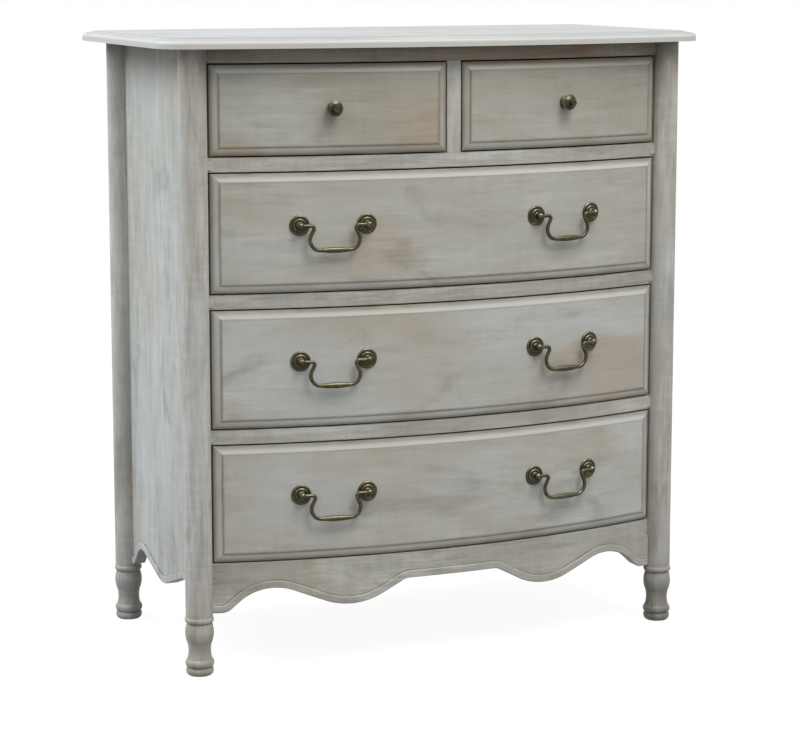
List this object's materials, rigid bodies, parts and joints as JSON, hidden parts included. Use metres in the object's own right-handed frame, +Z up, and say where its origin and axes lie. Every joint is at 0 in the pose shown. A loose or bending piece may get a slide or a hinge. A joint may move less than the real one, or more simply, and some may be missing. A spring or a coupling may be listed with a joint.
{
  "type": "bow front chest of drawers",
  "caption": "Bow front chest of drawers on turned corner posts, with knobbed small drawers over long drawers with bail pulls, moulded top and scalloped apron.",
  "frame": {"origin": "centre of the footprint on the floor", "axes": "+Z up, -Y towards the front where the drawers open, +X to the viewer's right"},
  "size_m": [1.022, 0.53, 1.091],
  "materials": {
    "limed_wood": "washed and glazed",
    "bare_wood": "unfinished",
    "antique_brass": "antiqued"
  },
  "bodies": {
    "carcass": {"back_bottom_rail": "bare_wood", "back_panel": "bare_wood", "back_top_rail": "bare_wood", "bottom_rail": "bare_wood", "centre_runner": "bare_wood", "corner_post_back_left": "limed_wood", "corner_post_back_right": "limed_wood", "corner_post_front_left": "limed_wood", "corner_post_front_right": "limed_wood", "drawer_divider": "limed_wood", "drawer_guides": "bare_wood", "drawer_rail_lower": "limed_wood", "drawer_rail_middle": "limed_wood", "drawer_rail_upper": "limed_wood", "drawer_runners_left": "bare_wood", "drawer_runners_right": "bare_wood", "drawer_stops": "bare_wood", "front_apron": "limed_wood", "side_panel_left": "limed_wood", "side_panel_right": "limed_wood", "top_cleats": "bare_wood", "top_panel": "limed_wood", "top_rail": "limed_wood"},
    "drawer_small_left": {"drawer_small_left_front": "limed_wood", "drawer_small_left_side_left": "bare_wood", "drawer_small_left_side_right": "bare_wood", "drawer_small_left_back": "bare_wood", "drawer_small_left_bottom": "bare_wood", "knob_left": "antique_brass"},
    "drawer_small_right": {"drawer_small_right_front": "limed_wood", "drawer_small_right_side_left": "bare_wood", "drawer_small_right_side_right": "bare_wood", "drawer_small_right_back": "bare_wood", "drawer_small_right_bottom": "bare_wood", "knob_right": "antique_brass"},
    "drawer_middle": {"drawer_middle_front": "limed_wood", "drawer_middle_side_left": "bare_wood", "drawer_middle_side_right": "bare_wood", "drawer_middle_back": "bare_wood", "drawer_middle_bottom": "bare_wood", "pull_fittings_middle": "antique_brass"},
    "drawer_lower": {"drawer_lower_front": "limed_wood", "drawer_lower_side_left": "bare_wood", "drawer_lower_side_right": "bare_wood", "drawer_lower_back": "bare_wood", "drawer_lower_bottom": "bare_wood", "pull_fittings_lower": "antique_brass"},
    "drawer_bottom": {"drawer_bottom_front": "limed_wood", "drawer_bottom_side_left": "bare_wood", "drawer_bottom_side_right": "bare_wood", "drawer_bottom_back": "bare_wood", "drawer_bottom_bottom": "bare_wood", "pull_fittings_bottom": "antique_brass"},
    "bail_bottom_left": {"bail_bottom_left": "antique_brass"},
    "bail_bottom_right": {"bail_bottom_right": "antique_brass"},
    "bail_lower_left": {"bail_lower_left": "antique_brass"},
    "bail_lower_right": {"bail_lower_right": "antique_brass"},
    "bail_middle_left": {"bail_middle_left": "antique_brass"},
    "bail_middle_right": {"bail_middle_right": "antique_brass"}
  },
  "joints": [
    {"name": "drawer_small_left_slide", "type": "slide", "parent": "carcass", "child": "drawer_small_left", "axis": [0, -1, 0], "range_m": [0, 0.3]},
    {"name": "drawer_small_right_slide", "type": "slide", "parent": "carcass", "child": "drawer_small_right", "axis": [0, -1, 0], "range_m": [0, 0.3]},
    {"name": "drawer_middle_slide", "type": "slide", "parent": "carcass", "child": "drawer_middle", "axis": [0, -1, 0], "range_m": [0, 0.3]},
    {"name": "drawer_lower_slide", "type": "slide", "parent": "carcass", "child": "drawer_lower", "axis": [0, -1, 0], "range_m": [0, 0.3]},
    {"name": "drawer_bottom_slide", "type": "slide", "parent": "carcass", "child": "drawer_bottom", "axis": [0, -1, 0], "range_m": [0, 0.3]},
    {"name": "bail_bottom_left_hinge", "type": "hinge", "parent": "drawer_bottom", "child": "bail_bottom_left", "pos_m": [-0.22132, -0.23078, 0.3095], "axis": [-0.9895, 0.1445, 0], "range_deg": [0, 95]},
    {"name": "bail_bottom_right_hinge", "type": "hinge", "parent": "drawer_bottom", "child": "bail_bottom_right", "pos_m": [0.22132, -0.23078, 0.3095], "axis": [-0.9895, -0.1445, 0], "range_deg": [0, 95]},
    {"name": "bail_lower_left_hinge", "type": "hinge", "parent": "drawer_lower", "child": "bail_lower_left", "pos_m": [-0.22132, -0.23078, 0.54201], "axis": [-0.9895, 0.1445, 0], "range_deg": [0, 95]},
    {"name": "bail_lower_right_hinge", "type": "hinge", "parent": "drawer_lower", "child": "bail_lower_right", "pos_m": [0.22132, -0.23078, 0.54201], "axis": [-0.9895, -0.1445, 0], "range_deg": [0, 95]},
    {"name": "bail_middle_left_hinge", "type": "hinge", "parent": "drawer_middle", "child": "bail_middle_left", "pos_m": [-0.22132, -0.23078, 0.77451], "axis": [-0.9895, 0.1445, 0], "range_deg": [0, 95]},
    {"name": "bail_middle_right_hinge", "type": "hinge", "parent": "drawer_middle", "child": "bail_middle_right", "pos_m": [0.22132, -0.23078, 0.77451], "axis": [-0.9895, -0.1445, 0], "range_deg": [0, 95]}
  ]
}
